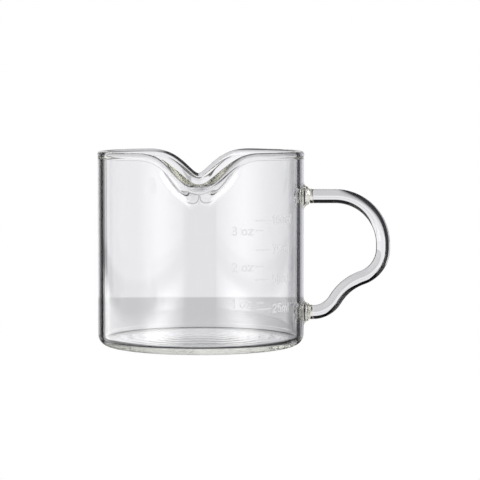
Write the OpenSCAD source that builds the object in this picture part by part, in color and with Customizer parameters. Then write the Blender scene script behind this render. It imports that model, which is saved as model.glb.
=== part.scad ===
// Glass measuring cup with two pouring spouts and a bent rod handle.
// The cup stands on the XY plane with its axis on Z. The spouts point to -Y (front) and near +Y,
// and the handle lies in the XZ plane on the +X side. All sizes are in millimetres.

/* [Cup] */
// outside radius of the straight wall
wall_radius = 32; // [28:0.5:40]
// height of the rim above the table
rim_height = 60.3; // [50:0.1:80]
// thickness of the side wall
wall = 2; // [1.5:0.1:3]
// radius of the rounded bead along the rim
bead_radius = 1.15; // [1:0.05:1.6]
// thickness of the floor
floor_thickness = 2.2; // [1.6:0.1:4]
// radius of the outside edge between floor and wall
corner_radius = 3.5; // [2:0.1:6]
// radius of the inside edge between floor and wall
inner_fillet = 1.8; // [1:0.1:4]
// how far the middle of the floor is pushed up
kick_up = 1.2; // [0:0.1:3]
// radius of the pushed-up middle; the cup rests on the flat ring outside it
kick_radius = 26; // [20:0.5:27]

/* [Spouts] */
// how far the rim drops at the tip of the front spout, and of the back one
front_drop = 8.9; // [4:0.1:12]
back_drop = 8.3; // [4:0.1:12]
// half the angle that each spout takes up on the rim, in degrees
front_half_angle = 36; // [20:1:45]
back_half_angle = 36; // [20:1:45]
// how rounded the bottom of each V is, in degrees
front_tip_angle = 7.5; // [2:0.5:15]
back_tip_angle = 4; // [2:0.5:15]
// how narrow each V is: a larger number is narrower
front_sharpness = 2.4; // [1.5:0.1:5]
back_sharpness = 3.2; // [1.5:0.1:5]
// how far the back spout is turned away from the handle's side, in degrees
back_turn = 2.2; // [-5:0.1:5]
// how far the lip of a spout leans out past the wall
spout_reach = 5.2; // [2:0.1:8]
// height of the band below the lip in which the wall bends outwards
spout_bend = 8; // [5:0.5:12]

/* [Handle] */
// radius of the glass rod
rod_radius = 2.2; // [1.8:0.05:3]
// height of the rod where it leaves the upper seal
handle_top = 46.2; // [35:0.1:50]
// radius of the large bend at the top of the loop
top_bend = 14.9; // [10:0.1:20]
// length of the short straight piece at the outside of the loop
outer_run = 1.4; // [0:0.1:5]
// radius and turn of the bend that brings the rod back to the cup
return_bend = 9.6; // [6:0.1:14]
return_turn = 70.8; // [50:0.2:90]
// radius and turn of the reverse bend
reverse_bend = 15.7; // [8:0.1:25]
reverse_turn = 40; // [20:1:60]
// radius of the last bend, which levels the rod before the lower seal
level_bend = 8.2; // [5:0.1:15]

/* [Seals] */
// radius of a seal where it meets the wall
seal_radius = 4.2; // [3:0.1:6]
// how far a seal stands out from the wall
seal_length = 2.8; // [2:0.1:5]
// how far the wall bulges inwards behind a seal, and the radius of the bulge
bulge = 1; // [0.5:0.1:2]
bulge_radius = 4.8; // [3:0.1:8]

/* [Printed scale] */
// thickness of the baked ink
ink = 0.1; // [0.05:0.01:0.2]
// thickness of the printed lines
line_width = 0.35; // [0.2:0.05:0.8]
// thickness of the strokes of the figures
stroke = 0.4; // [0.25:0.05:0.6]
// where the lines start, measured along the wall from the front spout
line_start = 17.8; // [10:0.1:30]
// lengths of the millilitre and ounce lines
ml_line = 5.7; // [3:0.1:8]
oz_line = 2.9; // [2:0.1:5]
// height of the first millilitre line, and the step to the next
ml_first = 13.5; // [8:0.1:20]
ml_step = 8.88; // [5:0.01:15]
// height of the first ounce line, and the step to the next
oz_first = 15.5; // [8:0.1:20]
oz_step = 10.85; // [5:0.01:15]
// where the millilitre and ounce figures start, along the wall from the front spout
ml_figures = 24.1; // [20:0.1:35]
oz_figures = 9.9; // [5:0.1:15]
// height of a figure, and of a small letter
figure_height = 2.75; // [2:0.05:4]
letter_height = 1.9; // [1.2:0.05:3]

/* [Hidden] */
$fn = 96;

inner_radius = wall_radius - wall;
mid_radius = wall_radius - wall / 2;
bead_height = rim_height - bead_radius;          // height of the centre of the rim bead
dome_radius = (kick_radius * kick_radius + kick_up * kick_up) / (2 * kick_up);

// The spouts are two separate shells let into gaps in the turned body.
front_spout = [front_drop, front_half_angle, front_tip_angle, front_sharpness];
back_spout = [back_drop, back_half_angle, back_tip_angle, back_sharpness];
gap_half_angle = max(front_half_angle, back_half_angle) + 1;
gap_height = bead_height - max(front_drop, back_drop) - spout_bend + 0.6;
spout_overlap = 0.5;                             // how deep a spout shell runs into the body
spout_inset = 0.02;                             // how far it stays inside the body's faces there
spout_columns = 50;
spout_rows = 12;
bead_steps = 7;
bead_angle = acos(wall / 2 / bead_radius);       // where the wall's face meets the bead
neck = 1.35;                                     // wall left free below the middle of the bead

seal_face = wall_radius + seal_length;
seal_flare = seal_radius - rod_radius;
seal_curve = (seal_flare * seal_flare + seal_length * seal_length) / (2 * seal_flare);

glass = [0.78, 0.86, 0.88, 0.45];
print_white = [0.96, 0.96, 0.94];

// ---- cup ---------------------------------------------------------------------------------

function unit(v) = v / norm(v);

// Share of a spout's full depth at an angle from its middle: 1 at the tip, 0 at the sides.
// A spout is given as [drop, half angle, tip angle, sharpness].
function from_tip(a, tip) = sqrt(a * a + tip * tip) - tip;
function spout_share(a, spout) =
    pow(max(0, 1 - from_tip(a, spout[2]) / from_tip(spout[1], spout[2])), spout[3]);

function lip_height(a, spout) = bead_height - spout[0] * spout_share(a, spout);

// A point on the middle of the wall. s is 0 at the bottom of the shell and 1 at the bead.
function shell_bottom() = gap_height - spout_overlap;
function mid_wall(a, s, spout) =
    let (lip = lip_height(a, spout),
         z = shell_bottom() + s * (lip - shell_bottom()),
         bent = max(0, 1 - (lip - z) / spout_bend),
         r = mid_radius + spout_reach * spout_share(a, spout) * pow(bent, 2))
    [r * sin(a), -r * cos(a), z];

function along(a, s, spout) = unit(mid_wall(a + 0.05, s, spout) - mid_wall(a - 0.05, s, spout));
function upwards(a, s, spout) =
    unit(mid_wall(a, s + 0.005, spout) - mid_wall(a, s - 0.005, spout));
function outwards(a, s, spout) = unit(cross(along(a, s, spout), upwards(a, s, spout)));

function row_place(i, a, spout) =
    i / spout_rows * (1 - neck / (lip_height(a, spout) - shell_bottom()));
function wall_point(a, i, side, spout) =
    let (s = row_place(i, a, spout))
    mid_wall(a, s, spout) + side * (wall / 2 - spout_inset) * outwards(a, s, spout);

// One slice through the shell: up the outside, round the bead, down the inside.
function slice(a, spout) =
    let (n = outwards(a, 1, spout), up = cross(n, along(a, 1, spout))) concat(
    [for (i = [0 : spout_rows]) wall_point(a, i, 1, spout)],
    [for (k = [0 : bead_steps])
        let (t = -bead_angle + k / bead_steps * (180 + 2 * bead_angle))
        mid_wall(a, 1, spout) + (bead_radius - spout_inset) * (cos(t) * n + sin(t) * up)],
    [for (i = [spout_rows : -1 : 0]) wall_point(a, i, -1, spout)]);

module spout_shell(spout) {
    reach = gap_half_angle + spout_overlap;
    slices = [for (c = [0 : spout_columns])
        slice(-reach + 2 * reach * c / spout_columns, spout)];
    n = len(slices[0]);
    half = floor(n / 2);
    last = spout_columns * n;
    skin = [for (c = [0 : spout_columns - 1], k = [0 : n - 1])
        [c * n + k, c * n + (k + 1) % n, (c + 1) * n + (k + 1) % n, (c + 1) * n + k]];
    first_end = [for (k = [0 : half - 2]) [k, n - 1 - k, n - 2 - k, k + 1]];
    last_end = [for (k = [0 : half - 2])
        [last + k, last + k + 1, last + n - 2 - k, last + n - 1 - k]];
    polyhedron(points = [for (s = slices) each s], faces = concat(skin, first_end, last_end));
}

module cavity_profile() {
    difference() {
        union() {
            translate([0, floor_thickness])
                square([inner_radius - inner_fillet, rim_height]);
            translate([0, floor_thickness + inner_fillet])
                square([inner_radius, rim_height]);
            translate([inner_radius - inner_fillet, floor_thickness + inner_fillet])
                circle(inner_fillet);
        }
        translate([0, floor_thickness + kick_up - dome_radius])
            circle(dome_radius, $fn = 1440);
    }
}

module body_profile() {
    difference() {
        union() {
            square([wall_radius - corner_radius, bead_height]);
            translate([0, corner_radius])
                square([wall_radius, bead_height - corner_radius]);
            translate([wall_radius - corner_radius, corner_radius])
                circle(corner_radius);
        }
        cavity_profile();
        translate([0, kick_up - dome_radius])
            circle(dome_radius, $fn = 1440);
    }
}

module rim_bead() {
    rotate_extrude() translate([mid_radius, bead_height]) circle(bead_radius);
}

module spout_gap() {
    rotate([0, 0, -90 - gap_half_angle])
        rotate_extrude(angle = 2 * gap_half_angle)
            translate([inner_radius - 3, gap_height])
                square([wall + 6, rim_height]);
}

module turn_back() rotate([0, 0, 180 + back_turn]) children();

module seal_bulge(z) {
    intersection() {
        translate([inner_radius - bulge + bulge_radius, 0, z]) sphere(bulge_radius);
        cylinder(r = mid_radius, h = rim_height);
    }
}

module cup_body() color(glass) {
    difference() {
        union() {
            rotate_extrude() body_profile();
            rim_bead();
        }
        spout_gap();
        turn_back() spout_gap();
    }
    spout_shell(front_spout);
    turn_back() spout_shell(back_spout);
    for (z = [handle_top, handle_bottom]) seal_bulge(z);
}

// ---- handle ------------------------------------------------------------------------------

// The rod as a walk in the XZ plane. Each step is a straight [length, 0] or a bend
// [radius, turn in degrees], where a left turn is positive.
loop_steps = [[top_bend, -90], [outer_run, 0], [return_bend, -return_turn],
              [reverse_bend, reverse_turn], [level_bend, return_turn - reverse_turn - 90]];

// Where a walk has got to, as [x, z, heading].
function walk(place, step) =
    let (h = place[2])
    step[1] == 0 ?
        [place[0] + step[0] * cos(h), place[1] + step[0] * sin(h), h] :
        let (r = sign(step[1]) * step[0], g = h + step[1])
        [place[0] + r * (sin(g) - sin(h)), place[1] - r * (cos(g) - cos(h)), g];
function walked(start, steps, n) =
    n == 0 ? start : walk(walked(start, steps, n - 1), steps[n - 1]);

loop_span = walked([0, 0, 0], loop_steps, len(loop_steps));
handle_steps = concat([[-loop_span[0], 0]], loop_steps);
handle_start = [seal_face, handle_top, 0];
handle_bottom = handle_top + loop_span[1];

module put_on_rod(place)
    translate([place[0], 0, place[1]]) rotate([0, -place[2], 0]) children();

module rod_step(step) {
    if (step[1] == 0)
        rotate([0, 90, 0]) cylinder(r = rod_radius, h = step[0]);
    else
        translate([0, 0, sign(step[1]) * step[0]])
            rotate([90, 0, 0])
                rotate([0, 0, step[1] > 0 ? -90 : 90 + step[1]])
                    rotate_extrude(angle = abs(step[1]))
                        translate([step[0], 0]) circle(rod_radius);
}

// The rod up to step n. A hair-thin collar covers each place where two steps meet.
module rod(n) {
    place = walked(handle_start, handle_steps, n);
    union() {
        if (n > 0) {
            rod(n - 1);
            put_on_rod(place) rotate([0, 90, 0])
                cylinder(r = rod_radius + 0.01, h = 0.1, center = true);
        }
    }
    put_on_rod(place) rod_step(handle_steps[n]);
}

module handle() color(glass) rod(len(handle_steps) - 1);

module seal(z) color(glass) {
    difference() {
        translate([wall_radius, 0, z]) rotate([0, 90, 0]) rotate_extrude()
            difference() {
                translate([0, -1]) square([seal_radius, seal_length + 1]);
                translate([rod_radius + seal_curve, seal_length]) circle(seal_curve);
            }
        cylinder(r = wall_radius, h = rim_height);
    }
}

module upper_handle_seal() seal(handle_top);
module lower_handle_seal() seal(handle_bottom);

// ---- printed scale -----------------------------------------------------------------------

function degrees_along(length) = length / wall_radius * 180 / PI;

module tick(start, length, z) {
    rotate([0, 0, -90 + degrees_along(start)])
        rotate_extrude(angle = degrees_along(length))
            translate([wall_radius, z - line_width / 2]) square([ink, line_width]);
}

module ml_ticks() color(print_white)
    for (k = [0 : 3]) tick(line_start, ml_line, ml_first + k * ml_step);

module oz_ticks() color(print_white)
    for (k = [0 : 2]) tick(line_start, oz_line, oz_first + k * oz_step);

// A stroke of even width along a line of points.
function sideways(points, i) =
    let (before = unit(points[i] - points[max(0, i - 1)] + (i == 0 ? points[1] - points[0] : [0, 0])),
         last = len(points) - 1,
         after = i == last ? before : unit(points[i + 1] - points[i]),
         mean = before + after)
    [-mean[1], mean[0]] / (mean * mean) * 2;
function ribbon(points, w) = concat(
    [for (i = [0 : len(points) - 1]) points[i] + sideways(points, i) * w / 2],
    [for (i = [len(points) - 1 : -1 : 0]) points[i] - sideways(points, i) * w / 2]);
function bow(centre, rx, ry, from, to, steps = 10) =
    [for (k = [0 : steps]) let (t = from + (to - from) * k / steps)
        centre + [rx * cos(t), ry * sin(t)]];

h = figure_height - stroke;                      // height of a figure's middle line
x = letter_height - stroke;                      // height of a small letter's middle line
figure_width = 1.7;
w = figure_width - stroke;

module line(points) polygon(ribbon(points, stroke));

module letter_0() {
    for (side = [0, 180])
        line(bow([w / 2, h / 2], w / 2, h / 2, side - 3, side + 183, 14));
}
module letter_1() line([[0, h * 0.78], [w * 0.45, h], [w * 0.45, -stroke / 2]]);
module letter_2() line(concat(bow([w / 2, h - w / 2], w / 2, w / 2, 165, -35, 10),
    [[0, 0], [w + stroke / 2, 0]]));
module letter_3() {
    line(concat(bow([w / 2, h * 0.76], w * 0.46, h * 0.24, 150, -90, 10), [[w * 0.25, h * 0.52]]));
    line(concat([[w * 0.25, h * 0.52]], bow([w / 2, h * 0.26], w / 2, h * 0.26, 90, -150, 10)));
}
module letter_5() {
    line([[w, h], [w * 0.1, h], [w * 0.03, h * 0.46]]);
    line(bow([w / 2, h * 0.31], w / 2, h * 0.31, 148, -150, 12));
}
module letter_7() line([[-stroke / 2, h], [w, h], [w * 0.3, -stroke / 2]]);
module letter_m() {
    line([[0, -stroke / 2], [0, x + stroke / 2]]);
    for (k = [0, 1])
        line(concat(bow([k * 1.05 + 0.525, x - 0.525], 0.525, 0.525, 180, 0, 8),
            [[(k + 1) * 1.05, -stroke / 2]]));
}
module letter_l() line([[0, -stroke / 2], [0, h + stroke / 2]]);
module letter_o() for (side = [0, 180])
    line(bow([x / 2, x / 2], x / 2, x / 2, side - 3, side + 183, 14));
module letter_z() line([[-stroke / 2, x], [x * 0.85, x], [0, 0], [x * 0.85 + stroke / 2, 0]]);

module letter(name) {
    if (name == "0") letter_0();
    if (name == "1") letter_1();
    if (name == "2") letter_2();
    if (name == "3") letter_3();
    if (name == "5") letter_5();
    if (name == "7") letter_7();
    if (name == "m") letter_m();
    if (name == "l") letter_l();
    if (name == "o") letter_o();
    if (name == "z") letter_z();
}

// How far each letter moves the next one along.
function advance(name) =
    name == " " ? 0.95 : name == "1" ? 1.55 : name == "m" ? 2.95 : name == "o" ? x + 0.8 :
    figure_width + 0.42;
function letter_start(name, n) = n == 0 ? 0 : letter_start(name, n - 1) + advance(name[n - 1]);

// A row of letters wrapped on the wall, with its middle at height z.
module printed(name, start, z) {
    for (n = [0 : len(name) - 1]) if (name[n] != " ")
        intersection() {
            rotate([0, 0, degrees_along(start + letter_start(name, n) + stroke / 2 + w / 2)])
                translate([-w / 2, -wall_radius + 1, z - h / 2])
                    rotate([90, 0, 0]) linear_extrude(2) letter(name[n]);
            translate([0, 0, z - figure_height]) difference() {
                cylinder(r = wall_radius + ink, h = 2 * figure_height);
                translate([0, 0, -1])
                    cylinder(r = wall_radius, h = 2 * figure_height + 2);
            }
        }
}

ml_names = ["25ml", "50ml", "75ml", "100ml"];
oz_names = ["1 oz", "2 oz", "3 oz"];

module ml_labels() color(print_white)
    for (k = [0 : 3]) printed(ml_names[k], ml_figures, ml_first + k * ml_step);

module oz_labels() color(print_white)
    for (k = [0 : 2]) printed(oz_names[k], oz_figures, oz_first + k * oz_step);

cup_body();
handle();
upper_handle_seal();
lower_handle_seal();
ml_ticks();
ml_labels();
oz_ticks();
oz_labels();
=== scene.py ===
"""Glass measuring cup with two spouts and a rod handle: looks, floor, light and camera."""

import math
from collections import namedtuple

import bmesh
import bpy
import numpy as np
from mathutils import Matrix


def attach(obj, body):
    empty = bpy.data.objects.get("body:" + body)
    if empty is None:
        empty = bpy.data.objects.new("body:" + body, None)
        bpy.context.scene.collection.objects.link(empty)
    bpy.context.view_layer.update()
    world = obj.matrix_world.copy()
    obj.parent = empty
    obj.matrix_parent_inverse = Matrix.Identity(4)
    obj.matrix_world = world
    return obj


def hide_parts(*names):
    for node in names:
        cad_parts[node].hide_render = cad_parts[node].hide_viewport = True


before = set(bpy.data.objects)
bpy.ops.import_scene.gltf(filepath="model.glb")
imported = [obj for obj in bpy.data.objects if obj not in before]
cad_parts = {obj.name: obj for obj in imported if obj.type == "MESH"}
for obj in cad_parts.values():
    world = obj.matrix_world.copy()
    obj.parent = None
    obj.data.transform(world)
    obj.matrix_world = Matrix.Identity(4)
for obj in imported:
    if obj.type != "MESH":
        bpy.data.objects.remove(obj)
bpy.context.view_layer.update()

MM = 0.001

# ---- sizes, in millimetres -----------------------------------------------------------------
# They are within 0.1 mm of the CAD part's, except that FILLET is smaller and the bulges behind
# the seals are wider. The ripples in the floor and the seals' flutes and rings are only here.
PRINT_RADIUS = 32.0           # the printed scale starts here
WALL_RADIUS = 31.985          # a hair inside the print
WALL = 2.0
RIM_HEIGHT = 60.3
BEAD = 1.15
FLOOR = 2.2
CORNER = 3.5
FILLET = 1.3
KICK_UP = 1.2
KICK_RADIUS = 26.0
FOOT_RADIUS = 27.2            # the cup stands on the ring between this and its rounded corner

# each spout: how far the rim drops, its half angle and the roundness of its tip in degrees,
# and how sharp the V is
Spout = namedtuple("Spout", "drop half_angle tip sharpness")
FRONT_SPOUT = Spout(8.9, 36.0, 7.5, 2.4)
BACK_SPOUT = Spout(8.3, 36.0, 4.0, 3.2)
BACK_TURN = 2.2               # the back spout stands this many degrees away from the handle
SPOUT_REACH = 5.15
SPOUT_BEND = 8.0
SHELL_START = 40.0            # above this height the wall follows the spouts
NECK = 1.35                   # the plain wall ends this far below the middle of the bead

RIPPLE = 0.05                 # faint rings in the floor: their depth,
RIPPLE_STEP = 3.3             # and the distance from one to the next
RIPPLE_EDGE = 27.0            # they have died away at this radius

ROD = 2.19
HANDLE_TOP = 46.2
SEAL_LENGTH = 2.8
SEAL_RADIUS = 4.1
SEAL_FOOT = 32.01             # the seals start a hair outside the wall
FLUTES = 0.075                # depth of the seals' flutes, as a share of the radius
FLUTE_COUNTS = (2, 3, 5, 8)
RING_DEPTH = 0.16
RING_RATE = 13                # radians of ring from the wall to the rod
BULGE = 1.0                   # the wall swells inwards behind the seals
BULGE_RADIUS = 3.9
LOOP = [("bend", 14.9, -90.0), ("run", 1.4, 0.0), ("bend", 9.6, -70.8),
        ("bend", 15.7, 40.0), ("bend", 8.2, -59.2)]

INNER_RADIUS = WALL_RADIUS - WALL
MID_RADIUS = WALL_RADIUS - WALL / 2
BEAD_HEIGHT = RIM_HEIGHT - BEAD
ROD_START = PRINT_RADIUS + SEAL_LENGTH

# ---- how finely the cup is cut: degrees from one column to the next -------------------------
SPOUT_ZONE = max(FRONT_SPOUT.half_angle, BACK_SPOUT.half_angle) + 1
HANDLE_ANGLE, HANDLE_ZONE = 90, 12
SPOUT_STEP, HANDLE_STEP, PLAIN_STEP = 0.6, 0.5, 1.2


def smooth(x):
    x = np.clip(x, 0.0, 1.0)
    return x * x * (3 - 2 * x)


# ---- mesh helpers --------------------------------------------------------------------------
def new_object(name, points, faces, material):
    mesh = bpy.data.meshes.new(name)
    mesh.from_pydata((np.asarray(points) * MM).tolist(), [], faces)
    mesh.validate()
    shell = bmesh.new()
    shell.from_mesh(mesh)
    bmesh.ops.recalc_face_normals(shell, faces=shell.faces)
    shell.to_mesh(mesh)
    shell.free()
    mesh.polygons.foreach_set("use_smooth", [True] * len(mesh.polygons))
    mesh.update()
    mesh.materials.append(material)
    piece = bpy.data.objects.new(name, mesh)
    bpy.context.scene.collection.objects.link(piece)
    return piece


def skin(rings, first_pole, last_pole):
    """Points and faces of a closed skin over rings of equal length, with a pole at each end."""
    rings = np.asarray(rings)
    count, size = rings.shape[:2]
    points = rings.reshape(-1, 3)
    faces = []
    for i in range(count - 1):
        a, b = i * size, (i + 1) * size
        for j in range(size):
            k = (j + 1) % size
            faces.append((a + j, a + k, b + k, b + j))
    for pole, ring, turned in ((first_pole, 0, True), (last_pole, count - 1, False)):
        points = np.vstack([points, [pole]])
        tip, a = len(points) - 1, ring * size
        for j in range(size):
            k = (j + 1) % size
            faces.append((a + k, a + j, tip) if turned else (a + j, a + k, tip))
    return points, faces


# ---- cup -----------------------------------------------------------------------------------
# Angles round the cup are in degrees from the front spout, and grow towards the handle.
def from_spout(a):
    """Degrees from the middle of the nearer spout."""
    a = np.asarray(a, float)
    front = (a + 180.0) % 360.0 - 180.0
    return np.where(abs(front) < 90, front, a % 360.0 - 180.0 - BACK_TURN)


def spout_depths(a):
    """How far the rim drops at each angle, and its share of the spout's full depth."""
    turned = from_spout(a)

    def share(spout):
        away = np.sqrt(turned * turned + spout.tip * spout.tip) - spout.tip
        widest = math.hypot(spout.half_angle, spout.tip) - spout.tip
        return np.maximum(1 - away / widest, 0.0) ** spout.sharpness

    front = np.cos(np.radians(a)) > 0
    shares = np.where(front, share(FRONT_SPOUT), share(BACK_SPOUT))
    return np.where(front, FRONT_SPOUT.drop, BACK_SPOUT.drop) * shares, shares


def lip_height(a):
    return BEAD_HEIGHT - spout_depths(a)[0]


def place(a, r, z):
    t = np.radians(a)
    return np.stack([r * np.sin(t), -r * np.cos(t), z + 0 * t], axis=-1)


def mid_wall(a, s):
    """The middle of the wall, as s goes from 0 where the spouts start to 1 at the lip."""
    z = SHELL_START + s * (lip_height(a) - SHELL_START)
    bent = np.maximum(0.0, 1 - (lip_height(a) - z) / SPOUT_BEND)
    r = MID_RADIUS + SPOUT_REACH * spout_depths(a)[1] * bent ** 2.0
    return place(a, r, z)


def unit(v):
    return v / np.linalg.norm(v, axis=-1, keepdims=True)


def along(a, s):
    """The direction round the wall."""
    return unit(mid_wall(a + 0.05, s) - mid_wall(a - 0.05, s))


def outwards(a, s):
    """The direction straight out of the wall."""
    up = unit(mid_wall(a, s + 0.004) - mid_wall(a, s - 0.004))
    return unit(np.cross(along(a, s), up))


def cup_angles():
    """Columns of the cup, closer together at the spouts and the handle."""
    angles, a = [], 0.0
    while a < 359.9:
        angles.append(a)
        if abs(from_spout(a)) < SPOUT_ZONE:
            a += SPOUT_STEP
        elif abs(a - HANDLE_ANGLE) < HANDLE_ZONE:
            a += HANDLE_STEP
        else:
            a += PLAIN_STEP
    return np.array(angles)


def cup_rings(seal_heights):
    """Rings of the cup's one skin: underside, outer wall, lip, inner wall and floor."""
    a = cup_angles()
    rings = []

    def ring(r, z):
        rings.append(place(a, r + 0 * a, z))

    def swelling(z):
        """How far the inner wall swells inwards behind the two seals."""
        depth = 0 * a
        for height in seal_heights:
            across = np.radians(a - HANDLE_ANGLE) * INNER_RADIUS
            off = np.hypot(across, z - height) / BULGE_RADIUS
            depth = depth + BULGE * np.maximum(0, 1 - off ** 2) ** 1.3
        return depth

    dome = (KICK_RADIUS ** 2 + KICK_UP ** 2) / (2 * KICK_UP)

    def under(r):
        """Height of the pushed-up underside."""
        return np.sqrt(dome ** 2 - r * r) - dome + KICK_UP

    # underside and rounded foot
    for r in np.linspace(1.0, KICK_RADIUS, 26):
        ring(r, under(r))
    ring(FOOT_RADIUS, 0.0)
    for t in np.radians(np.linspace(0, 90, 13)):
        ring(WALL_RADIUS - CORNER + CORNER * math.sin(t), CORNER - CORNER * math.cos(t))

    # outer wall, up to the neck under the lip
    straight = np.linspace(CORNER + 0.8, SHELL_START, 46)
    for z in straight:
        ring(WALL_RADIUS, z)
    neck = NECK / (lip_height(a) - SHELL_START)
    rows = np.linspace(0, 1, 46)[1:]
    for i in rows:
        s = i * (1 - neck)
        rings.append(mid_wall(a, s) + WALL / 2 * outwards(a, s))

    # rounded bead along the lip
    edge = math.degrees(math.acos(WALL / 2 / BEAD))
    n, t = outwards(a, 1.0), along(a, 1.0)
    up = np.cross(n, t)
    for w in np.radians(np.linspace(-edge, 180 + edge, 19)):
        rings.append(mid_wall(a, 1.0) + BEAD * (math.cos(w) * n + math.sin(w) * up))

    # inner wall, down to the fillet
    for i in rows[::-1]:
        s = i * (1 - neck)
        inner = mid_wall(a, s) - WALL / 2 * outwards(a, s)
        rings.append(inner - place(a, swelling(inner[:, 2]), 0.0))
    for z in straight[::-1]:
        if z > FLOOR + FILLET + 0.3:
            ring(INNER_RADIUS - swelling(z), z)
    for t in np.radians(np.linspace(0, 90, 11)):
        ring(INNER_RADIUS - FILLET + FILLET * math.cos(t),
             FLOOR + FILLET - FILLET * math.sin(t))

    # floor, with faint ripples that fade at its middle and its edge
    for r in np.linspace(27.8, 1.0, 60):
        z = FLOOR + (under(r) if r < KICK_RADIUS else 0.0)
        fade = smooth((RIPPLE_EDGE - r) / 3) * smooth(r / 6)
        z += RIPPLE * math.sin(2 * math.pi * r / RIPPLE_STEP) * fade
        ring(r, z)
    return rings, (0, 0, KICK_UP), (0, 0, FLOOR + KICK_UP)


# ---- handle and seals ----------------------------------------------------------------------
def loop_line(step=0.5):
    """Points and headings of the rod's middle line, from the upper seal to the lower one."""
    x = z = h = 0.0
    line = []
    for kind, size, turn in LOOP:
        if kind == "run":
            for d in np.arange(0, size, step):
                line.append((x + d * math.cos(h), z + d * math.sin(h), h))
            x, z = x + size * math.cos(h), z + size * math.sin(h)
        else:
            r, end = math.copysign(size, turn), h + math.radians(turn)
            for g in np.linspace(h, end, int(size * abs(end - h) / step) + 2)[:-1]:
                line.append((x + r * (math.sin(g) - math.sin(h)),
                             z - r * (math.cos(g) - math.cos(h)), g))
            x, z, h = (x + r * (math.sin(end) - math.sin(h)),
                       z - r * (math.cos(end) - math.cos(h)), end)
    line.append((x, z, h))
    first_run = -x            # so that both ends of the rod are equally far out
    start = [(d - first_run, 0.0, 0.0) for d in np.arange(0, first_run, step)]
    return [(ROD_START + first_run + px, HANDLE_TOP + pz, ph) for px, pz, ph in start + line]


def circle(sides):
    return np.radians(np.arange(sides) * 360 / sides)


def rod_rings(line, sides=56):
    w = circle(sides)
    rings = []
    for x, z, h in line:
        out = np.stack([-math.sin(h) * np.cos(w), np.sin(w), math.cos(h) * np.cos(w)], axis=-1)
        rings.append(np.array([x, 0, z]) + ROD * out)
    return rings


def seal_rings(z0, seed, sides=72):
    """A melted knot from the wall out to the rod, with soft flutes and rings round it."""
    rng = np.random.default_rng(seed)
    w = circle(sides)
    waves = [(k, rng.uniform(0.5, 1.0) / k ** 0.5, rng.uniform(0, 6.28), rng.uniform(-2.5, 2.5))
             for k in FLUTE_COUNTS]
    flare = SEAL_RADIUS - ROD
    curve = (flare ** 2 + SEAL_LENGTH ** 2) / (2 * flare)

    def around(x, r):
        return np.stack([x + 0 * w, r * np.sin(w), z0 + r * np.cos(w)], axis=-1)

    def wall_x(r):
        return np.sqrt(SEAL_FOOT ** 2 - (r * np.sin(w)) ** 2)

    rings = [around(wall_x(r), r) for r in np.linspace(0.5, SEAL_RADIUS - 0.15, 9)]
    for d in np.arange(22) / 21:
        left = SEAL_LENGTH - SEAL_LENGTH * d
        r = ROD + curve - math.sqrt(max(0.0, curve ** 2 - left ** 2))
        fade = math.sin(math.pi * min(1.0, d * 1.02)) ** 0.8
        flutes = sum(size * np.cos(k * w + start + twist * d) for k, size, start, twist in waves)
        r = r * (1 + FLUTES * flutes * fade) + RING_DEPTH * math.sin(d * RING_RATE + seed) * fade
        foot = wall_x(r)
        rings.append(around(foot + (ROD_START - foot) * d, r))
    rings += [around(ROD_START, ROD * share) for share in (0.66, 0.33)]
    return rings, (SEAL_FOOT, 0, z0), (ROD_START, 0, z0)


# ---- shader helpers ------------------------------------------------------------------------
class Tree:
    """Adds nodes to the node tree of a material or world.

    Numbers and colours are set on a socket, and anything else is linked to it.
    """

    def __init__(self, owner, clear=False):
        owner.use_nodes = True
        self.nodes, self.links = owner.node_tree.nodes, owner.node_tree.links
        if clear:
            self.nodes.clear()

    def add(self, kind):
        return self.nodes.new("ShaderNode" + kind)

    def feed(self, value, socket):
        if isinstance(value, (int, float, tuple)):
            socket.default_value = value
        else:
            self.links.new(value, socket)

    def math(self, operation, *values):
        node = self.add("Math")
        node.operation = operation
        for value, socket in zip(values, node.inputs):
            self.feed(value, socket)
        return node.outputs[0]

    def rise(self, source, start, end, low, high):
        """A value that goes smoothly from low to high as the source goes from start to end."""
        node = self.add("MapRange")
        node.interpolation_type = "SMOOTHSTEP"
        for name, value in (("Value", source), ("From Min", start), ("From Max", end),
                            ("To Min", low), ("To Max", high)):
            self.feed(value, node.inputs[name])
        return node.outputs["Result"]

    def mix(self, share, first, second, blend="MIX"):
        node = self.add("Mix")
        node.data_type, node.blend_type = "RGBA", blend
        for value, socket in ((share, node.inputs["Factor"]), (first, node.inputs[6]),
                              (second, node.inputs[7])):
            self.feed(value, socket)
        return node.outputs[2]

    def times(self, first, second):
        return self.mix(1.0, first, second, "MULTIPLY")

    def ramp(self, source, stops):
        """A colour ramp from pairs of a position from 0 to 1 and a grey or a colour."""
        node = self.add("ValToRGB")
        elements = node.color_ramp.elements
        elements.remove(elements[1])
        for i, (position, value) in enumerate(stops):
            element = elements[0] if i == 0 else elements.new(position)
            element.position = position
            colour = value if isinstance(value, tuple) else (value, value, value)
            element.color = (*colour, 1)
        self.links.new(source, node.inputs["Fac"])
        return node.outputs["Color"]

    def position(self, coordinates):
        """The x, y and z of the named texture coordinates."""
        split = self.add("SeparateXYZ")
        self.links.new(self.add("TexCoord").outputs[coordinates], split.inputs[0])
        return split.outputs

    def speckle(self, socket, scale, low, high):
        """Feeds a socket with a colour that wanders from low to high over the surface."""
        noise = self.add("TexNoise")
        noise.inputs["Scale"].default_value = scale
        self.links.new(self.add("TexCoord").outputs["Object"], noise.inputs["Vector"])
        self.links.new(self.ramp(noise.outputs["Fac"], [(0.0, low), (1.0, high)]), socket)

    def show(self, share, first, second):
        """Gives the material the first shader, or the second one by the share."""
        pick, out = self.add("MixShader"), self.add("OutputMaterial")
        for source, socket in zip((share, first, second), pick.inputs):
            self.links.new(source, socket)
        self.links.new(pick.outputs[0], out.inputs["Surface"])


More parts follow.
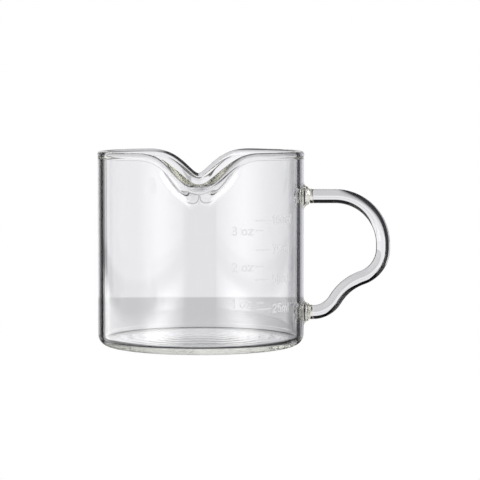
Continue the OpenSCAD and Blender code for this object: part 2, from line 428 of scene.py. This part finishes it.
# ---- materials -----------------------------------------------------------------------------
GLASS_IOR = 1.47
CLOUD_SCALE = 90
LONG_PATH_TINT, LONG_PATH_DENSITY = (0.80, 0.80, 0.50, 1), 2.0
PRINT_ROUGHNESS = 0.45
PRINT_SCALE = 900


def glass_material(name, tint, clouding):
    """Clear glass with a warm olive cast along a long path and faint clouding on its skin."""
    mat = bpy.data.materials.new(name)
    tree = Tree(mat)
    bsdf = tree.nodes["Principled BSDF"]
    bsdf.inputs["Roughness"].default_value = 0.0
    bsdf.inputs["IOR"].default_value = GLASS_IOR
    bsdf.inputs["Transmission Weight"].default_value = 1.0
    clouded = tuple(c * (1 - clouding) for c in tint)
    tree.speckle(bsdf.inputs["Base Color"], CLOUD_SCALE, clouded, tint)
    cast = tree.add("VolumeAbsorption")
    cast.inputs["Color"].default_value = LONG_PATH_TINT
    cast.inputs["Density"].default_value = LONG_PATH_DENSITY
    tree.links.new(cast.outputs[0], tree.nodes["Material Output"].inputs["Volume"])
    return mat


def print_material(name):
    """Baked white enamel with fine uneven patches."""
    mat = bpy.data.materials.new(name)
    tree = Tree(mat)
    bsdf = tree.nodes["Principled BSDF"]
    bsdf.inputs["Roughness"].default_value = PRINT_ROUGHNESS
    tree.speckle(bsdf.inputs["Base Color"], PRINT_SCALE, (0.82, 0.82, 0.84), (0.90, 0.90, 0.92))
    return mat


cup_glass = glass_material("cup_glass", (1.0, 1.0, 1.0), 0.008)
rod_glass = glass_material("rod_glass", (1.0, 0.995, 1.0), 0.008)
seal_glass = glass_material("seal_glass", (0.985, 0.975, 0.90), 0.03)
ink = print_material("white_enamel")

# ---- pieces --------------------------------------------------------------------------------
rod_line = loop_line()
rod_start, rod_end = [(x, 0, z) for x, z, h in (rod_line[0], rod_line[-1])]
handle_foot = rod_end[2]

rings, first, last = cup_rings((HANDLE_TOP, handle_foot))
cup = new_object("glass_cup", *skin(rings, first, last), cup_glass)
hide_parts("cup_body")

handle = new_object("glass_handle", *skin(rod_rings(rod_line), rod_start, rod_end), rod_glass)
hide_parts("handle")

seals = []
for name, node, z0, seed in (("upper_seal", "upper_handle_seal", HANDLE_TOP, 3),
                             ("lower_seal", "lower_handle_seal", handle_foot, 8)):
    rings, first, last = seal_rings(z0, seed)
    piece = new_object(name, *skin(rings, first, last), seal_glass)
    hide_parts(node)
    seals.append(piece)

for piece in [cup, handle] + seals:
    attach(piece, "root")

for node in ("ml_ticks", "ml_labels", "oz_ticks", "oz_labels"):
    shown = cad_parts[node]
    shown.data.materials.clear()
    shown.data.materials.append(ink)


# ---- sky -----------------------------------------------------------------------------------
# Directions are in degrees: turn is 0 along +Y and grows towards +X, height is above level.
SIDE_FLAGS = [(-163, -153), (-118, -107), (-74, -63), (63, 74), (107, 118), (153, 163)]
CUP_FLAGS = SIDE_FLAGS + [(-40, -18.4), (26, 39)]
ROD_FLAGS = SIDE_FLAGS + [(-40, -9), (52, 63)]
FLAG_EDGE = 0.4
FLAGS_END = (-65, -50)        # the flags fade out between these heights
TABLE_EDGE, TABLE_BLUR = -5.35, 0.03
ROD_SKY_TOP = 17.0
CUP_SKY_TOP = 14.0

BAND_START, BAND_TONE = (3.4, 3.8), 0.6       # a thin dark band across the backdrop, which
BAND_END, BAND_RETURN = (4.4, 4.8), 1.65      # comes back to about its full tone above it
LOW_LEFT_TURNS, LOW_LEFT_TOP = (-42, -38, -8, 2), (-14, -6)
OVERHEAD_START = (15, 20)
MIRROR_FOOT, MIRROR_LOW = (-62, -48), 0.05

BLACK = 0.02
WHITE = (1.0, 1.0, 1.0, 1.0)
PALE, BRIGHT = (0.887, 0.885, 0.912), (0.95, 0.95, 0.95)
TABLE_GREY = 0.73
LOW_DARK = (0.03, 0.03, 0.035, 1.0)
ROOM = (0.92, 0.92, 0.92, 1)  # what lights the print

BACKDROP = [(-180, PALE), (-80, PALE), (-60, BRIGHT), (-30, BRIGHT), (-20, PALE), (3, PALE),
            (11, (0.72, 0.72, 0.76)), (20, (0.50, 0.50, 0.54)), (40, (0.40, 0.40, 0.44)),
            (60, (0.58, 0.58, 0.62)), (80, PALE), (180, PALE)]
TABLE = [(-180, TABLE_GREY), (1, TABLE_GREY), (6, 0.55), (9, 0.60), (30, 0.62),
         (60, TABLE_GREY), (180, TABLE_GREY)]
LIT_SIDE = [(-180, 0.0), (-100, 0.1), (-90, 1.0), (90, 1.0), (100, 0.1), (180, 0.0)]


def studio_world():
    """The sky that the glass shows, in three versions that are chosen by the light's path.

    Light that has been through two thicknesses of glass or more, through one at most, such
    as the rod, or off a surface each finds its own tones, which no real room does. The camera
    itself sees white.
    """
    world = bpy.data.worlds.new("studio")
    bpy.context.scene.world = world
    world.cycles.sampling_method = "NONE"
    sky = Tree(world)
    x, y, z = sky.position("Generated")
    degree = 180 / math.pi
    turn = sky.math("MULTIPLY", sky.math("ARCTAN2", x, y), degree)
    height = sky.math("MULTIPLY", sky.math("ARCSINE", z), degree)
    turn_share = sky.math("MULTIPLY_ADD", turn, 1 / 360, 0.5)

    def around(stops):
        """A tone for each turn, from pairs of a turn and a tone."""
        return sky.ramp(turn_share, [((angle + 180) / 360, value) for angle, value in stops])

    def up(start, end, low, high):
        return sky.rise(height, start, end, low, high)

    def within(start_low, start_high, end_low, end_high):
        """1 between two turns and 0 outside them, with soft edges."""
        return sky.math("MULTIPLY", sky.rise(turn, start_low, start_high, 0.0, 1.0),
                        sky.rise(turn, end_low, end_high, 1.0, 0.0))

    def between(flags):
        """Black where the turn is inside one of the flags, white elsewhere and far below."""
        open_ways = WHITE
        for start, end in flags:
            inside = within(start - FLAG_EDGE, start + FLAG_EDGE,
                            end - FLAG_EDGE, end + FLAG_EDGE)
            open_ways = sky.times(open_ways, sky.math("MULTIPLY_ADD", inside, BLACK - 1, 1.0))
        return sky.mix(up(*FLAGS_END, 1.0, 0.0), open_ways, WHITE)

    def above_table(low, high):
        return up(TABLE_EDGE - TABLE_BLUR, TABLE_EDGE + TABLE_BLUR, low, high)

    line = sky.times(up(*BAND_START, 1.0, BAND_TONE), up(*BAND_END, 1.0, BAND_RETURN))
    table = sky.times(sky.mix(above_table(0.0, 1.0), around(TABLE), WHITE), line)
    cup_sky = sky.times(around(BACKDROP), between(CUP_FLAGS))
    through_cup = sky.times(cup_sky, sky.times(
        table, up(CUP_SKY_TOP - 1, CUP_SKY_TOP + 1, 1.0, BLACK)))

    rod_ground = sky.times(sky.times(above_table(TABLE_GREY, 1.0), line),
                           up(ROD_SKY_TOP - 1.5, ROD_SKY_TOP + 1.5, 1.0, BLACK))
    through_rod = sky.times(sky.times((*PALE, 1.0), between(ROD_FLAGS)), rod_ground)
    low_left = sky.math("MULTIPLY", within(*LOW_LEFT_TURNS), up(*LOW_LEFT_TOP, 1.0, 0.0))
    through_rod = sky.mix(low_left, through_rod, LOW_DARK)

    # only light that has been mirrored more than once inside the glass finds the overhead light
    path = sky.add("LightPath").outputs
    mirrored = sky.times(sky.times(cup_sky, table), around(LIT_SIDE))
    mirrored = sky.times(mirrored, up(*MIRROR_FOOT, MIRROR_LOW, 1.0))
    inside = sky.math("MULTIPLY",
                      sky.math("GREATER_THAN", path["Transmission Depth"], 0.5),
                      sky.math("GREATER_THAN", path["Glossy Depth"], 1.5))
    overhead = sky.math("MULTIPLY", up(*OVERHEAD_START, 0.0, 1.0), inside)
    mirrored = sky.mix(up(*OVERHEAD_START, 0.0, 1.0), mirrored, overhead)

    one_solid = sky.math("LESS_THAN", path["Transmission Depth"], 2.5)
    reflected = sky.math("GREATER_THAN", path["Glossy Depth"], 0.5)
    shown = sky.mix(reflected, sky.mix(one_solid, through_cup, through_rod), mirrored)
    shown = sky.mix(path["Is Diffuse Ray"], shown, ROOM)
    shown = sky.mix(path["Is Camera Ray"], shown, WHITE)
    sky.links.new(shown, sky.nodes["Background"].inputs["Color"])


# ---- floor, side panels and camera ---------------------------------------------------------
FLOOR_SIZE, FLOOR_SIDES = 400.0, 96
FLOOR_HEIGHT = -0.02
SHADOW_START = (26.0, 29.0)   # the painted soft shadow under the foot comes and goes over these radii
SHADOW_END = (32.5, 35.5)
SHADOW = 0.1

PANEL_FRONT, PANEL_BACK = -460.0, 360.0
PANEL_FOOT, PANEL_TOP = -150.0, 420.0
PANEL_DEPTH = PANEL_BACK - PANEL_FRONT
PANEL_AWAY, PANEL_SPLAY = 262, 0.25
LEFT_LIGHT = [(-460, 0.45), (-330, 0.95), (-205, 1.55), (-150, 1.55), (-95, 1.0), (120, 0.95),
              (360, 1.0)]
RIGHT_LIGHT = [(-460, 0.35), (-330, 0.75), (-205, 1.3), (-145, 1.25), (-80, 0.35), (0, 0.12),
               (360, 0.3)]

CAMERA_PLACE = (12.15, -700, 80.27)
CAMERA_DIP = 3.9
CAMERA_LENS = 169.3


def studio_floor():
    """White to the camera; to light through the glass it is clear, with only a painted soft
    shadow round the foot.
    """
    points = [(FLOOR_SIZE * math.sin(t), FLOOR_SIZE * math.cos(t), FLOOR_HEIGHT)
              for t in circle(FLOOR_SIDES)]
    mat = bpy.data.materials.new("pale_floor")
    tree = Tree(mat, clear=True)
    x, y, _ = tree.position("Object")
    flat = tree.add("CombineXYZ")
    tree.links.new(x, flat.inputs["X"])
    tree.links.new(y, flat.inputs["Y"])
    length = tree.add("VectorMath")
    length.operation = "LENGTH"
    tree.links.new(flat.outputs[0], length.inputs[0])
    from_axis = length.outputs["Value"]
    # painted shadow: a darker ring round the foot, set by the distance from the axis
    shadow = tree.math(
        "MAXIMUM",
        tree.rise(from_axis, SHADOW_START[0] * MM, SHADOW_START[1] * MM, 1.0, SHADOW),
        tree.rise(from_axis, SHADOW_END[0] * MM, SHADOW_END[1] * MM, SHADOW, 1.0))
    clear, white = tree.add("BsdfTransparent"), tree.add("Emission")
    tree.links.new(shadow, clear.inputs["Color"])
    to_camera = tree.add("LightPath").outputs["Is Camera Ray"]
    tree.show(to_camera, clear.outputs[0], white.outputs[0])
    floor = new_object("floor", points, [tuple(range(FLOOR_SIDES))[::-1]], mat)
    floor.visible_diffuse = False
    floor.visible_shadow = False


def side_panel(name, side, stops):
    """A tall lit screen beside the cup, seen only by way of a reflection in the glass."""
    corners = [(side * (PANEL_AWAY + PANEL_SPLAY * y), y, z)
               for y, z in ((PANEL_FRONT, PANEL_FOOT), (PANEL_BACK, PANEL_FOOT),
                            (PANEL_BACK, PANEL_TOP), (PANEL_FRONT, PANEL_TOP))]
    mat = bpy.data.materials.new(name + "_glow")
    tree = Tree(mat, clear=True)
    _, y, z = tree.position("Object")
    share = tree.math("MULTIPLY_ADD", y, 1 / (PANEL_DEPTH * MM), -PANEL_FRONT / PANEL_DEPTH)
    light = tree.ramp(share, [((y - PANEL_FRONT) / PANEL_DEPTH, value) for y, value in stops])
    # far below the cup's foot the light has more contrast; from there up to the foot it is halved
    low = tree.times(tree.times(light, light), (2.0, 2.0, 2.0, 1.0))
    high = tree.times(light, tree.rise(z, 0, 4 * MM, 0.5, 1.0))
    light = tree.mix(tree.rise(z, -20 * MM, -9 * MM, 0.0, 1.0), low, high)
    clear, glow = tree.add("BsdfTransparent"), tree.add("Emission")
    tree.links.new(light, glow.inputs["Color"])
    reflected = tree.math("GREATER_THAN", tree.add("LightPath").outputs["Glossy Depth"], 0.5)
    tree.show(reflected, clear.outputs[0], glow.outputs[0])

    panel = new_object(name, corners, [(0, 1, 2, 3)], mat)
    panel.visible_camera = False
    panel.visible_diffuse = False
    panel.visible_shadow = False


def studio_camera():
    camera = bpy.data.cameras.new("camera")
    camera.sensor_width = 36
    camera.lens = CAMERA_LENS
    camera.clip_start = 0.01
    piece = bpy.data.objects.new("camera", camera)
    piece.location = [c * MM for c in CAMERA_PLACE]
    piece.rotation_euler = (math.radians(90 - CAMERA_DIP), 0, 0)
    bpy.context.scene.collection.objects.link(piece)
    bpy.context.scene.camera = piece


studio_world()
studio_floor()
side_panel("left_panel", -1, LEFT_LIGHT)
side_panel("right_panel", 1, RIGHT_LIGHT)
studio_camera()
bpy.context.scene.view_settings.view_transform = "Standard"
paths = bpy.context.scene.cycles      # light runs a long way inside thick glass
paths.max_bounces = paths.transmission_bounces = paths.glossy_bounces = 64
paths.transparent_max_bounces = 16
